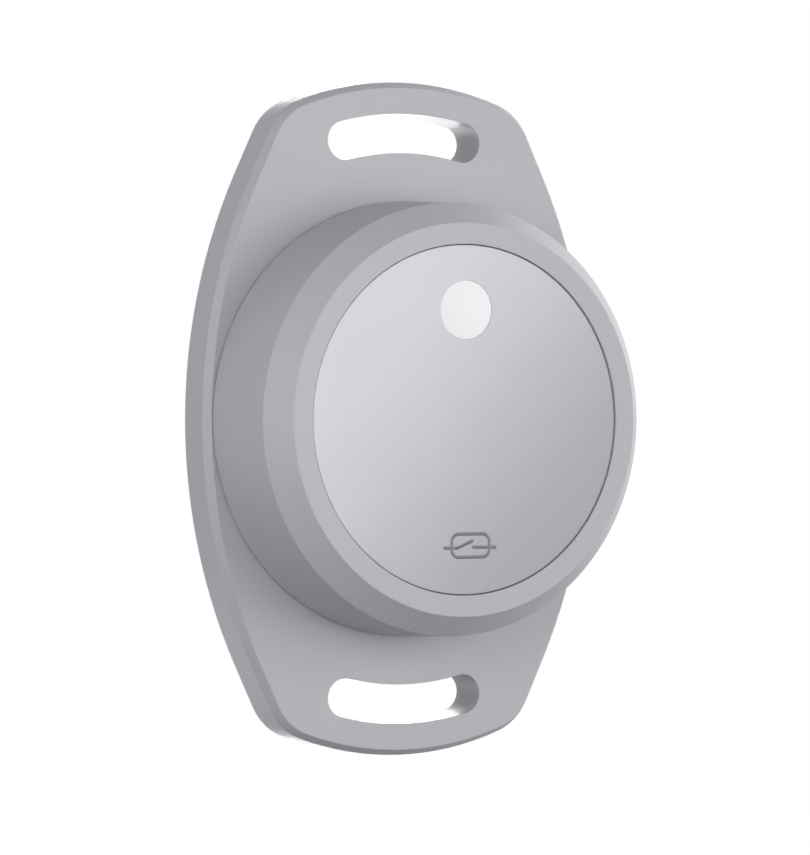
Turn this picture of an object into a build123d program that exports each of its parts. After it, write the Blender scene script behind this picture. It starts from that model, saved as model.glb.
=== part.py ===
from build123d import *
from math import cos, radians, sin
import os

# Wall-mounted temperature and humidity sensor: a round twist-off cover on a slotted flange.
# Millimetres. Seen from the front, +X is right and +Z is up, and the face looks along -Y.
# The origin is the middle of the back face, which lies on the wall. Depths count from the wall.

# Coin cell and its holder
cell_diameter = 24.5
cell_thickness = 5.0
cell_cap_diameter = 21.0
cell_can_wall = 0.3
cell_seal_width = 0.35
cell_cap_height = 0.5
cell_side_clearance = 0.1
cell_end_clearance = 0.2
holder_wall = 0.8
holder_base = 0.8
holder_ring_height = 2.6
clip_half_angle = 13
clip_lip = 0.4
clip_lip_thickness = 0.35
finger_notch_half_angle = 26
contact_notch_half_angle = 11
contact_thickness = 0.25
contact_width = 3.6
contact_foot = 1.9
contact_gap = 0.02
leaf_thickness = 0.2
leaf_width = 3.0
leaf_tip = 2.4
leaf_foot = 2.0
leaf_slope = 2.6
leaf_window_clearance = 0.6

# Circuit board and its screws
board_thickness = 0.8
board_margin = 1.8
board_edge_clearance = 0.3
screw_count = 3
screw_start_angle = 30
screw_shank_diameter = 1.2
screw_head_diameter = 2.2
screw_head_height = 0.8
screw_head_gap = 0.35
screw_length = 2.9
screw_hole_clearance = 0.3
screw_tip_clearance = 0.2
boss_wall = 0.95
key_angle = 200
key_width = 1.2
key_reach = 1.6
key_clearance = 0.2

# Moulded walls
floor_thickness = 1.6
cell_rib_height = 1.8
component_space = 2.4
front_wall = 1.36
cover_wall = 1.77
spigot_wall = 1.4
spigot_lead = 0.5
skirt_gap = 0.1

# Twist lock and its seal
lug_count = 3
lug_start_angle = 90
lug_reach = 1.0
base_lug_half_angle = 14
cover_lug_half_angle = 12
base_lug_thickness = 0.9
cover_lug_thickness = 0.8
turn_angle = 40
stop_half_angle = 1.5
stop_gap_angle = 0.4
fit_clearance = 0.1
lock_clearance = 0.05
seal_section = 1.27
seal_clearance = 0.03
seal_side_clearance = 0.13
shoulder_thickness = 0.5
shoulder_clearance = 0.12

# Face
cover_draft = 0.36
bevel_width = 1.79
bevel_depth = 2.31
bezel_width = 1.87
face_recess = 0.4
face_thickness = 0.5
face_edge_gap = 0.1
adhesive_thickness = 0.1
adhesive_inset = 0.6
vent_height = 9.6
vent_window_diameter = 5.2
vent_port_diameter = 2.0
membrane_thickness = 0.48
membrane_edge_gap = 0.02
membrane_adhesive_width = 1.1
gasket_wall = 1.0
gasket_bore_clearance = 0.4
gasket_seat_wall = 0.6
gasket_seat_height = 0.7
gasket_seat_clearance = 0.1

# Flange
flange_depth = 4.0
flange_chamfer = 0.5
waist_ledge = 0.57
waist_radius = 50.35
waist_angle = 25.7
corner_radius = 5.3
slot_web = 4.3
slot_width = 3.5
slot_half_angle = 13.7
slot_rim = 2.83
slot_wall = 1.5
rim_wall = 1.5
hub_wall = 1.4
face_skin = 1.5
rib_thickness = 1.0
rib_count = 12
cell_rib_start = 4.0
cell_rib_length = 7.0
cell_rib_thickness = 1.2
cell_rib_count = 6

# Parts on the front of the board, as width along X, height along Z and thickness
radio_chip_size = (6.0, 6.0, 0.85)
radio_chip_place = (-6.2, -0.6)
shield_size = (9.4, 8.4, 1.6)
shield_wall = 0.2
antenna_size = (2.0, 7.0, 1.0)
antenna_place = (12.0, -2.2)
main_crystal_size = (2.5, 2.0, 0.6)
main_crystal_place = (1.4, 1.6)
clock_crystal_size = (1.5, 3.2, 0.75)
clock_crystal_place = (1.4, -3.0)
capacitor_size = (3.5, 2.8, 1.8)
capacitor_place = (6.2, -4.4)
chip_part_size = (1.0, 0.5, 0.4)
chip_row_pitch = 1.5
chip_row_count = 5
chip_row_height = 5.2
match_column_place = 8.4
match_column_pitch = 1.1
match_column_count = 4
humidity_chip_size = (1.5, 1.5, 0.5)
led_size = (0.8, 1.6, 0.6)
vent_part_spacing = 2.2

# Reed contact
reed_height = -11.0
reed_lift = 1.15
reed_glass_diameter = 1.8
reed_glass_length = 9.0
reed_bore_diameter = 1.16
reed_seal_length = 1.2
reed_lead_width = 0.45
reed_lead_span = 13.4
reed_leaf_thickness = 0.15
reed_leaf_width = 0.8
reed_leaf_overlap = 0.6
reed_gap = 0.12

# Radii, from the cell outwards
cell_radius = cell_diameter / 2
holder_bore = cell_radius + cell_side_clearance
holder_radius = holder_bore + holder_wall
screw_circle = holder_radius + screw_head_gap + screw_head_diameter / 2
board_radius = screw_circle + board_margin
cover_lug_radius = board_radius + board_edge_clearance
spigot_radius = cover_lug_radius - fit_clearance
cavity_radius = spigot_radius - spigot_wall
cover_bore = spigot_radius + lug_reach
base_lug_radius = cover_bore - fit_clearance
shoulder_radius = cover_bore - shoulder_clearance
groove_radius = cover_bore - seal_clearance - seal_section
skirt_radius = cover_bore + cover_wall
bevel_radius = skirt_radius - cover_draft
bezel_radius = bevel_radius - bevel_width
recess_radius = bezel_radius - bezel_width
face_radius = recess_radius - face_edge_gap
waist_half_width = skirt_radius + waist_ledge
slot_circle = skirt_radius + slot_web + slot_width / 2
plate_end_radius = slot_circle + slot_width / 2 + slot_rim
hub_radius = cavity_radius + hub_wall
boss_radius = screw_shank_diameter / 2 + boss_wall
window_radius = vent_window_diameter / 2
membrane_radius = window_radius - membrane_edge_gap
gasket_bore = window_radius - gasket_bore_clearance
gasket_radius = gasket_bore + gasket_wall

# Depths of the stack, from the wall outwards
cell_rib_front = floor_thickness + cell_rib_height
cell_back = cell_rib_front + cell_end_clearance
clip_back = cell_back - clip_lip_thickness
cell_front = cell_back + cell_thickness
board_back = cell_front + holder_base
board_front = board_back + board_thickness
panel_back = board_front + component_space
panel_front = panel_back + front_wall
face_back = panel_front + adhesive_thickness
face_front = face_back + face_thickness
total_depth = face_front + face_recess
bevel_back = total_depth - bevel_depth

# Depths of the twist lock
skirt_back = flange_depth + skirt_gap
groove_front = flange_depth + seal_section + seal_side_clearance
shoulder_front = groove_front + shoulder_thickness
cover_lug_back = shoulder_front + fit_clearance
cover_lug_front = cover_lug_back + cover_lug_thickness
base_lug_back = cover_lug_front + lock_clearance
base_lug_front = base_lug_back + base_lug_thickness
spigot_front = base_lug_front + spigot_lead

# FRONT has local x right, local y up and offsets out from the wall
FRONT = Plane.XZ
TURN_AXIS = Axis((0, 0, 0), (0, -1, 0))

os.makedirs("parts", exist_ok=True)


def section_plane(angle):
    """Plane of radius and depth, turned anticlockwise from +X as seen from the front."""
    across = (cos(radians(angle)), 0, sin(radians(angle)))
    normal = (sin(radians(angle)), 0, -cos(radians(angle)))
    return Plane(origin=(0, 0, 0), x_dir=across, z_dir=normal)


def ring_block(middle, half_angle, inner, outer, back, front):
    """Block of a ring between two radii and two depths, about the turning axis."""
    with BuildPart() as block:
        with BuildSketch(section_plane(middle - half_angle)):
            with Locations(((inner + outer) / 2, (back + front) / 2)):
                Rectangle(outer - inner, front - back)
        revolve(axis=TURN_AXIS, revolution_arc=2 * half_angle)
    return block.part


def board_part(size, places):
    """Flat parts of one size that stand on the front of the board."""
    with BuildPart() as block:
        with BuildSketch(FRONT.offset(board_front)):
            with Locations(*places):
                Rectangle(size[0], size[1])
        extrude(amount=size[2])
    return block.part


def save(piece, name):
    """Label a finished piece and write it out."""
    piece.label = name
    export_step(piece, f"parts/{name}.step")


lug_angles = [lug_start_angle + 360 / lug_count * step for step in range(lug_count)]
slot_path = CenterArc((0, 0), slot_circle, 90 - slot_half_angle, 2 * slot_half_angle)

# Outline of the flange: round ends about the centre, bowed sides with straight tapers, round corners
with BuildSketch() as plate_outline:
    with BuildLine():
        waist_centre = (waist_half_width - waist_radius, 0)
        side = CenterArc(waist_centre, waist_radius, -waist_angle, 2 * waist_angle)
        upper = Line(side @ 1, side @ 1 + (side % 1) * plate_end_radius)
        lower = Line(side @ 0, side @ 0 - (side % 0) * plate_end_radius)
        Line(upper @ 1, (0, (upper @ 1).Y))
        Line(lower @ 1, (0, (lower @ 1).Y))
        mirror(about=Plane.YZ)
    make_face()
    Circle(plate_end_radius, mode=Mode.INTERSECT)
    outline_corners = plate_outline.vertices().filter_by(
        lambda v: abs(Vector(v).length - plate_end_radius) < corner_radius / 100
    )
    fillet(outline_corners, corner_radius)

# Moulded base: flange, fixing slots, cored back, and the ring that the cover turns on
with BuildPart() as base_flange:
    with BuildSketch(FRONT):
        add(plate_outline.sketch)
    extrude(amount=flange_depth)
    chamfer(base_flange.faces().sort_by(Axis.Y)[0].edges(), flange_chamfer)
    with BuildSketch(section_plane(0)):
        with BuildLine():
            Polyline(
                (0, floor_thickness),
                (0, spigot_front),
                (spigot_radius, spigot_front),
                (spigot_radius, shoulder_front),
                (shoulder_radius, shoulder_front),
                (shoulder_radius, groove_front),
                (groove_radius, groove_front),
                (groove_radius, floor_thickness),
                close=True,
            )
        make_face()
    revolve(axis=TURN_AXIS)
    with BuildSketch(FRONT.offset(floor_thickness)):
        Circle(cavity_radius)
    extrude(amount=spigot_front - floor_thickness, mode=Mode.SUBTRACT)
    with BuildSketch(FRONT.offset(floor_thickness)):
        with PolarLocations(cell_rib_start + cell_rib_length / 2, cell_rib_count):
            Rectangle(cell_rib_length, cell_rib_thickness)
    extrude(amount=cell_rib_height)
    for angle in lug_angles:
        lock_stop = angle - cover_lug_half_angle - stop_gap_angle - stop_half_angle
        open_stop = angle + turn_angle + cover_lug_half_angle + stop_gap_angle + stop_half_angle
        for middle, half_angle, back, front in (
            (angle, base_lug_half_angle, base_lug_back, base_lug_front),
            (lock_stop, stop_half_angle, groove_front, base_lug_back),
            (open_stop, stop_half_angle, groove_front, base_lug_back),
        ):
            add(ring_block(middle, half_angle, groove_radius, base_lug_radius, back, front))
    with BuildSketch(FRONT):
        add(plate_outline.sketch)
        offset(amount=-rim_wall, mode=Mode.REPLACE)
        Circle(hub_radius, mode=Mode.SUBTRACT)
        SlotArc(slot_path, slot_width + 2 * slot_wall, mode=Mode.SUBTRACT)
        SlotArc(slot_path, slot_width + 2 * slot_wall, rotation=180, mode=Mode.SUBTRACT)
        with PolarLocations(plate_end_radius / 2, rib_count):
            Rectangle(plate_end_radius, rib_thickness, mode=Mode.SUBTRACT)
    extrude(amount=flange_depth - face_skin, mode=Mode.SUBTRACT)
    with BuildSketch(FRONT):
        SlotArc(slot_path, slot_width)
        SlotArc(slot_path, slot_width, rotation=180)
    extrude(amount=flange_depth, mode=Mode.SUBTRACT)
save(base_flange.part, "base_flange")

# Square-cut rubber ring between the flange and the cover
with BuildPart() as cover_seal:
    with BuildSketch(section_plane(0)):
        with Locations((groove_radius + seal_section / 2, flange_depth + seal_section / 2)):
            Rectangle(seal_section, seal_section)
    revolve(axis=TURN_AXIS)
save(cover_seal.part, "cover_seal")

# Round cover: drafted wall, bevel, bezel and sunken front panel, with the board's bosses inside
with BuildPart() as cover:
    with BuildSketch(section_plane(0)):
        with BuildLine():
            Polyline(
                (cover_bore, skirt_back),
                (skirt_radius, skirt_back),
                (bevel_radius, bevel_back),
                (bezel_radius, total_depth),
                (recess_radius, total_depth),
                (recess_radius, panel_front),
                (0, panel_front),
                (0, panel_back),
                (cover_bore, panel_back),
                close=True,
            )
        make_face()
    revolve(axis=TURN_AXIS)
    with BuildSketch(FRONT.offset(board_front)):
        with PolarLocations(screw_circle, screw_count, start_angle=screw_start_angle):
            Circle(boss_radius)
    extrude(amount=component_space)
    with BuildSketch(FRONT.offset(panel_back - gasket_seat_height)):
        with Locations((0, vent_height)):
            Circle(gasket_radius + gasket_seat_clearance + gasket_seat_wall)
            Circle(gasket_radius + gasket_seat_clearance, mode=Mode.SUBTRACT)
    extrude(amount=gasket_seat_height)
    with BuildSketch(FRONT.offset(board_back)):
        with PolarLocations(cover_bore - key_reach / 2, 1, start_angle=key_angle):
            Rectangle(key_reach + key_clearance, key_width)
    extrude(amount=board_thickness + component_space)
    lug_root = cover_bore + cover_wall / 2
    for angle in lug_angles:
        add(ring_block(angle, cover_lug_half_angle, cover_lug_radius, lug_root, cover_lug_back, cover_lug_front))
    with BuildSketch(FRONT.offset(board_front)):
        with PolarLocations(screw_circle, screw_count, start_angle=screw_start_angle):
            Circle(screw_shank_diameter / 2)
    extrude(amount=screw_length - board_thickness + screw_tip_clearance, mode=Mode.SUBTRACT)
    with BuildSketch(FRONT.offset(panel_back)):
        with Locations((0, vent_height)):
            Circle(vent_port_diameter / 2)
    extrude(amount=front_wall, mode=Mode.SUBTRACT)
save(cover.part, "cover")

# Silver face plate and the sheet of adhesive under it
with BuildPart() as face_plate:
    with BuildSketch(FRONT.offset(face_back)):
        Circle(face_radius)
        with Locations((0, vent_height)):
            Circle(window_radius, mode=Mode.SUBTRACT)
    extrude(amount=face_thickness)
save(face_plate.part, "face_plate")

with BuildPart() as face_adhesive:
    with BuildSketch(FRONT.offset(panel_front)):
        Circle(face_radius - adhesive_inset)
        with Locations((0, vent_height)):
            Circle(window_radius + adhesive_inset, mode=Mode.SUBTRACT)
    extrude(amount=adhesive_thickness)
save(face_adhesive.part, "face_adhesive")

# White breathing window and its ring of adhesive, over the port in the front panel
with BuildPart() as vent_adhesive:
    with BuildSketch(FRONT.offset(panel_front)):
        with Locations((0, vent_height)):
            Circle(membrane_radius)
            Circle(membrane_radius - membrane_adhesive_width, mode=Mode.SUBTRACT)
    extrude(amount=adhesive_thickness)
save(vent_adhesive.part, "vent_adhesive")

with BuildPart() as vent_membrane:
    with BuildSketch(FRONT.offset(face_back)):
        with Locations((0, vent_height)):
            Circle(membrane_radius)
    extrude(amount=membrane_thickness)
save(vent_membrane.part, "vent_membrane")

# Rubber sleeve that closes the air space round the humidity chip
with BuildPart() as vent_gasket:
    with BuildSketch(FRONT.offset(board_front)):
        with Locations((0, vent_height)):
            Circle(gasket_radius)
            Circle(gasket_bore, mode=Mode.SUBTRACT)
    extrude(amount=component_space)
save(vent_gasket.part, "vent_gasket")

# Circuit board with its screw holes and the notch for the cover's key
with BuildPart() as circuit_board:
    with BuildSketch(FRONT.offset(board_back)):
        Circle(board_radius)
        with PolarLocations(screw_circle, screw_count, start_angle=screw_start_angle):
            Circle((screw_shank_diameter + screw_hole_clearance) / 2, mode=Mode.SUBTRACT)
        with PolarLocations(cover_bore - key_reach / 2, 1, start_angle=key_angle):
            Rectangle(key_reach + 3 * key_clearance, key_width + 2 * key_clearance, mode=Mode.SUBTRACT)
    extrude(amount=board_thickness)
save(circuit_board.part, "circuit_board")

with BuildPart() as board_screws:
    with BuildSketch(FRONT.offset(board_back - screw_head_height)):
        with PolarLocations(screw_circle, screw_count, start_angle=screw_start_angle):
            Circle(screw_head_diameter / 2)
    extrude(amount=screw_head_height)
    with BuildSketch(FRONT.offset(board_back)):
        with PolarLocations(screw_circle, screw_count, start_angle=screw_start_angle):
            Circle(screw_shank_diameter / 2)
    extrude(amount=screw_length)
save(board_screws.part, "board_screws")

# Parts soldered to the front of the board
save(board_part(radio_chip_size, [radio_chip_place]), "radio_chip")

with BuildPart() as radio_shield:
    with BuildSketch(FRONT.offset(board_front)):
        with Locations(radio_chip_place):
            Rectangle(shield_size[0], shield_size[1])
    extrude(amount=shield_size[2])
    offset(amount=-shield_wall, openings=radio_shield.faces().sort_by(Axis.Y)[-1])
save(radio_shield.part, "radio_shield")

save(board_part(antenna_size, [antenna_place]), "chip_antenna")
save(board_part(main_crystal_size, [main_crystal_place]), "main_crystal")
save(board_part(clock_crystal_size, [clock_crystal_place]), "clock_crystal")
save(board_part(capacitor_size, [capacitor_place]), "bulk_capacitor")
save(board_part(humidity_chip_size, [(vent_part_spacing / 2, vent_height)]), "humidity_chip")
save(board_part(led_size, [(-vent_part_spacing / 2, vent_height)]), "status_led")

with BuildPart() as board_passives:
    with BuildSketch(FRONT.offset(board_front)):
        with Locations((radio_chip_place[0], chip_row_height)):
            with GridLocations(chip_row_pitch, 1, chip_row_count, 1):
                Rectangle(chip_part_size[1], chip_part_size[0])
        with Locations((match_column_place, antenna_place[1] + antenna_size[1] / 2)):
            with GridLocations(1, match_column_pitch, 1, match_column_count):
                Rectangle(chip_part_size[0], chip_part_size[1])
    extrude(amount=chip_part_size[2])
save(board_passives.part, "board_passives")

# Reed contact: glass tube along X with two square leads and one springy leaf, which meets the fixed one
reed_depth = board_front + reed_lift
reed_axis = Axis((0, -reed_depth, reed_height), (1, 0, 0))
reed_lead_half = reed_lead_width / 2
leaf_root = reed_glass_length / 2 - reed_seal_length
with BuildPart() as reed_glass:
    with BuildSketch(Plane((0, 0, reed_height), x_dir=(1, 0, 0), z_dir=(0, 0, -1))):
        with BuildLine():
            Polyline(
                (-reed_glass_length / 2, reed_depth),
                (-leaf_root, reed_depth),
                (-leaf_root, reed_depth + reed_bore_diameter / 2),
                (leaf_root, reed_depth + reed_bore_diameter / 2),
                (leaf_root, reed_depth),
                (reed_glass_length / 2, reed_depth),
                (reed_glass_length / 2, reed_depth + reed_glass_diameter / 2),
                (-reed_glass_length / 2, reed_depth + reed_glass_diameter / 2),
                close=True,
            )
        make_face()
    revolve(axis=reed_axis)
    with BuildSketch(Plane.YZ.offset(-reed_glass_length / 2)):
        with Locations((-reed_depth, reed_height)):
            Rectangle(reed_lead_width, reed_lead_width)
    extrude(amount=reed_glass_length, mode=Mode.SUBTRACT)
save(reed_glass.part, "reed_glass")


def reed_lead(hand):
    """Square lead from the seal of the glass out to its foot on the board, on the left or the right."""
    with BuildPart() as lead:
        with BuildSketch(Plane((0, 0, reed_height - reed_lead_half), x_dir=(1, 0, 0), z_dir=(0, 0, 1))):
            with BuildLine():
                Polyline(
                    (hand * leaf_root, -reed_depth - reed_lead_half),
                    (hand * (reed_lead_span / 2 + reed_lead_half), -reed_depth - reed_lead_half),
                    (hand * (reed_lead_span / 2 + reed_lead_half), -board_front),
                    (hand * (reed_lead_span / 2 - reed_lead_half), -board_front),
                    (hand * (reed_lead_span / 2 - reed_lead_half), -reed_depth + reed_lead_half),
                    (hand * leaf_root, -reed_depth + reed_lead_half),
                    close=True,
                )
            make_face()
        extrude(amount=reed_lead_width)
    return lead.part


save(reed_lead(-1), "reed_moving_lead")

leaf_offset = (reed_gap + reed_leaf_thickness) / 2
with BuildPart() as reed_fixed_blade:
    add(reed_lead(1))
    with BuildSketch(Plane((0, 0, reed_height - reed_leaf_width / 2), x_dir=(1, 0, 0), z_dir=(0, 0, 1))):
        with BuildLine():
            Polyline(
                (-reed_leaf_overlap, -reed_depth + leaf_offset - reed_leaf_thickness / 2),
                (leaf_root, -reed_depth - reed_leaf_thickness / 2),
                (leaf_root, -reed_depth + reed_leaf_thickness / 2),
                (-reed_leaf_overlap, -reed_depth + leaf_offset + reed_leaf_thickness / 2),
                close=True,
            )
        make_face()
    extrude(amount=reed_leaf_width)
save(reed_fixed_blade.part, "reed_fixed_blade")

with BuildPart() as reed_leaf:
    with BuildSketch(Plane((0, 0, reed_height - reed_leaf_width / 2), x_dir=(1, 0, 0), z_dir=(0, 0, 1))):
        with BuildLine():
            Polyline(
                (-leaf_root, -reed_depth - reed_leaf_thickness / 2),
                (reed_leaf_overlap, -reed_depth - leaf_offset - reed_leaf_thickness / 2),
                (reed_leaf_overlap, -reed_depth - leaf_offset + reed_leaf_thickness / 2),
                (-leaf_root, -reed_depth + reed_leaf_thickness / 2),
                close=True,
            )
        make_face()
    extrude(amount=reed_leaf_width)
save(reed_leaf.part, "reed_leaf")

# Cell holder on the back of the board: base, two arcs of wall with a notch at the top and the bottom,
# and a clip over the cell on each side
notch_angle = contact_notch_half_angle + finger_notch_half_angle
wall_tilt = (finger_notch_half_angle - contact_notch_half_angle) / 2
with BuildPart() as battery_holder:
    with BuildSketch(FRONT.offset(cell_front)):
        Circle(holder_radius)
        with Locations(((leaf_slope + leaf_foot - leaf_tip) / 2, 0)):
            Rectangle(
                leaf_tip + leaf_slope + leaf_foot + 2 * leaf_window_clearance,
                leaf_width + 2 * leaf_window_clearance,
                mode=Mode.SUBTRACT,
            )
        with Locations((0, holder_radius)):
            Rectangle(
                contact_width + 2 * fit_clearance,
                2 * (holder_radius - cell_radius - contact_gap + fit_clearance),
                mode=Mode.SUBTRACT,
            )
    extrude(amount=holder_base)
    wall_back = cell_front - holder_ring_height
    lip_radius = cell_radius - clip_lip
    for middle, side_angle in ((wall_tilt, 0), (180 - wall_tilt, 180)):
        add(ring_block(middle, 90 - notch_angle / 2, holder_bore, holder_radius, wall_back, cell_front))
        add(ring_block(side_angle, clip_half_angle, holder_bore, holder_radius, clip_back, wall_back))
        add(ring_block(side_angle, clip_half_angle, lip_radius, holder_bore, clip_back, cell_back))
save(battery_holder.part, "battery_holder")

# Positive contact: a bent strip that presses on the side of the cell
with BuildPart() as positive_contact:
    with BuildSketch(Plane((contact_width / 2, 0, 0), x_dir=(0, -1, 0), z_dir=(-1, 0, 0))):
        with BuildLine():
            Polyline(
                (board_back, cell_radius + contact_gap),
                (board_back, cell_radius + contact_gap + contact_foot),
                (board_back - contact_thickness, cell_radius + contact_gap + contact_foot),
                (board_back - contact_thickness, cell_radius + contact_gap + contact_thickness),
                (cell_front - holder_ring_height, cell_radius + contact_gap + contact_thickness),
                (cell_front - holder_ring_height, cell_radius + contact_gap),
                close=True,
            )
        make_face()
    extrude(amount=contact_width)
save(positive_contact.part, "positive_contact")

# Negative contact: a leaf from the board up to the cap of the cell
with BuildPart() as negative_contact:
    with BuildSketch(Plane((0, 0, -leaf_width / 2), x_dir=(1, 0, 0), z_dir=(0, 0, 1))):
        with BuildLine():
            Polyline(
                (-leaf_tip, -cell_front),
                (0, -cell_front),
                (leaf_slope, leaf_thickness - board_back),
                (leaf_slope + leaf_foot, leaf_thickness - board_back),
                (leaf_slope + leaf_foot, -board_back),
                (leaf_slope, -board_back),
                (0, -cell_front - leaf_thickness),
                (-leaf_tip, -cell_front - leaf_thickness),
                close=True,
            )
        make_face()
    extrude(amount=leaf_width)
save(negative_contact.part, "negative_contact")

# Coin cell: cap towards the board, can towards the wall, and the sealing ring between them
cap_radius = cell_cap_diameter / 2
cap_shoulder = cell_front - cell_cap_height
can_bore = cell_radius - cell_can_wall
with BuildPart() as cell_can:
    with BuildSketch(section_plane(0)):
        with BuildLine():
            Polyline(
                (0, cell_back),
                (cell_radius, cell_back),
                (cell_radius, cap_shoulder),
                (can_bore, cap_shoulder),
                (can_bore, cell_back + cell_can_wall),
                (0, cell_back + cell_can_wall),
                close=True,
            )
        make_face()
    revolve(axis=TURN_AXIS)
save(cell_can.part, "cell_can")

with BuildPart() as cell_gasket:
    with BuildSketch(section_plane(0)):
        with Locations((can_bore - cell_seal_width / 2, (cell_back + cell_can_wall + cap_shoulder) / 2)):
            Rectangle(cell_seal_width, cap_shoulder - cell_back - cell_can_wall)
    revolve(axis=TURN_AXIS)
save(cell_gasket.part, "cell_gasket")

with BuildPart() as cell_cap:
    with BuildSketch(section_plane(0)):
        with BuildLine():
            Polyline(
                (0, cell_back + cell_can_wall),
                (can_bore - cell_seal_width, cell_back + cell_can_wall),
                (can_bore - cell_seal_width, cap_shoulder),
                (cap_radius, cell_front),
                (0, cell_front),
                close=True,
            )
        make_face()
    revolve(axis=TURN_AXIS)
save(cell_cap.part, "cell_cap")
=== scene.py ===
import math

import bmesh
import bpy
from mathutils import Matrix, Vector


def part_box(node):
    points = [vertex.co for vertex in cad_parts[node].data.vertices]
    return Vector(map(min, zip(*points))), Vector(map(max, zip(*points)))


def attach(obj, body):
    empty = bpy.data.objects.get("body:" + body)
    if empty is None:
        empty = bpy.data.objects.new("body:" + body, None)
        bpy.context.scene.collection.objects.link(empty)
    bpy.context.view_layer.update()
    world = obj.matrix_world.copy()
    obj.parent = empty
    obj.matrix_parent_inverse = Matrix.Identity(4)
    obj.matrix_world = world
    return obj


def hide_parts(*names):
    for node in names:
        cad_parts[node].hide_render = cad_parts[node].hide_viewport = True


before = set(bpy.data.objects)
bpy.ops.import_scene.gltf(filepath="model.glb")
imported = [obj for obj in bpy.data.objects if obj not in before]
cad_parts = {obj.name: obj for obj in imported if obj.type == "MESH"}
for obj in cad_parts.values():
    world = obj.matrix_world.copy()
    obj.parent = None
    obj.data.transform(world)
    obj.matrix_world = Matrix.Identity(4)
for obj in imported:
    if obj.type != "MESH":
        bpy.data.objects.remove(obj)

bl_info = {
    "name": "Wall Sensor Finish",
    "version": (1, 0, 0),
    "blender": (4, 5, 0),
    "location": "3D View > Sidebar > Wall Sensor",
    "description": "Shells, face disc, printed mark, finishes and studio for a wall-mounted climate sensor",
    "category": "Object",
}

MM = 0.001
HAIR, MERGE = 0.01 * MM, 0.001 * MM
UPRIGHT = math.radians(90)
SHARP_ANGLE, FOLD_ANGLE, FLAT_ANGLE = math.radians(30), math.radians(25), math.radians(0.3)


def box_radius(node):
    """Half of a round node's width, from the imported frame."""
    low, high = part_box(node)
    return (high.x - low.x) / 2


def box_depths(node):
    """Depths from the wall of a node's back and front."""
    low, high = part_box(node)
    return -high.y, -low.y


def box_middle(node):
    """Where the middle of a node stands, seen from the front: x and z."""
    low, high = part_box(node)
    return (low.x + high.x) / 2, (low.z + high.z) / 2


SKIRT_BACK, COVER_FRONT = box_depths("cover")
DISC_BACK, DISC_FRONT = box_depths("face_plate")
WINDOW_BACK = box_depths("vent_membrane")[0]
FLANGE_FRONT = 4.0 * MM
BOARD_BACK, BOARD_FRONT = box_depths("circuit_board")
FIRST_SCREW, SCREW_COUNT, SCREW_START = (14.6 * MM, 0, 0), 3, math.radians(30)


# Sizes and colours that a user may change


def length_property(label, about, value, precision=5):
    return bpy.props.FloatProperty(
        name=label, description=about, default=value, unit="LENGTH", precision=precision)


def angle_property(label, about, degrees):
    return bpy.props.FloatProperty(
        name=label, description=about, default=math.radians(degrees), subtype="ANGLE", unit="ROTATION")


def colour_property(label, about, value):
    return bpy.props.FloatVectorProperty(
        name=label, description=about, default=value, subtype="COLOR", size=3, min=0, max=1)


class CoverSizes(bpy.types.PropertyGroup):
    skirt_radius: length_property(
        "Skirt Radius", "Outside radius of the cover at the flange", box_radius("cover"))
    bore_radius: length_property("Bore Radius", "Inside radius of the cover", 17.6 * MM)
    bevel_radius: length_property(
        "Bevel Radius", "Radius at which the drafted wall meets the bevel", 19.01 * MM)
    bevel_depth: length_property(
        "Bevel Depth", "Distance from the bezel back to the start of the bevel", 2.31 * MM)
    bezel_radius: length_property(
        "Bezel Radius", "Outside radius of the flat ring round the disc", 17.22 * MM)
    recess_radius: length_property(
        "Recess Radius", "Radius of the sunken panel that holds the disc", 15.35 * MM)
    panel_depth: length_property("Panel Depth", "Depth from the wall of the sunken panel", 13.96 * MM)
    panel_thickness: length_property("Panel Thickness", "Thickness of the front wall", 1.36 * MM)
    edge_round: length_property("Edge Round", "Radius of the moulded outer edges", 0.14 * MM)
    segments: bpy.props.IntProperty(
        name="Segments", description="Faces round the turned surfaces", default=256, min=48, max=512)


class FaceSizes(bpy.types.PropertyGroup):
    disc_radius: length_property(
        "Disc Radius", "Radius of the silver disc", box_radius("face_plate") + 0.05 * MM)
    disc_front: length_property(
        "Disc Front", "Depth from the wall of the disc's face, a little under the rim of the cover",
        DISC_FRONT + 0.25 * MM)
    # painted shade: a darker line round the disc's edge stands in for the shade in the gap between disc and
    # cover
    painted_gap_shade_width: length_property(
        "Disc Edge", "Width of the darker line round the edge of the disc", 0.12 * MM)
    window_radius: length_property("Window Radius", "Radius of the breathing window", 2.585 * MM)
    window_hole: length_property("Window Hole", "Radius of the hole in the disc", 2.6 * MM)
    window_height: length_property(
        "Window Height", "Height of the window above the middle", box_middle("vent_membrane")[1])
    stroke_width: length_property("Stroke Width", "Width of the printed lines", 0.28 * MM)
    ink_thickness: length_property(
        "Ink Thickness", "Height of the printed lines above the disc", 0.012 * MM, precision=6)


class BaseSizes(bpy.types.PropertyGroup):
    edge_round: length_property("Edge Round", "Radius of the moulded edges of the flange", 0.06 * MM)
    rim_depth: length_property(
        "Rim Depth", "How far the sloped rim of the flange reaches back from its face", 0.8 * MM)
    ejector_radius: length_property(
        "Ejector Radius", "Radius of the round marks that the mould's pins leave on the back", 1.3 * MM)
    ejector_depth: length_property("Ejector Depth", "Depth of the round marks", 0.12 * MM)
    ejector_circle: length_property(
        "Ejector Circle", "Radius of the circle that the marks stand on", 12.4 * MM)
    ejector_count: bpy.props.IntProperty(
        name="Ejector Count", description="Number of the round marks", default=6, min=1, max=12)


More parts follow.
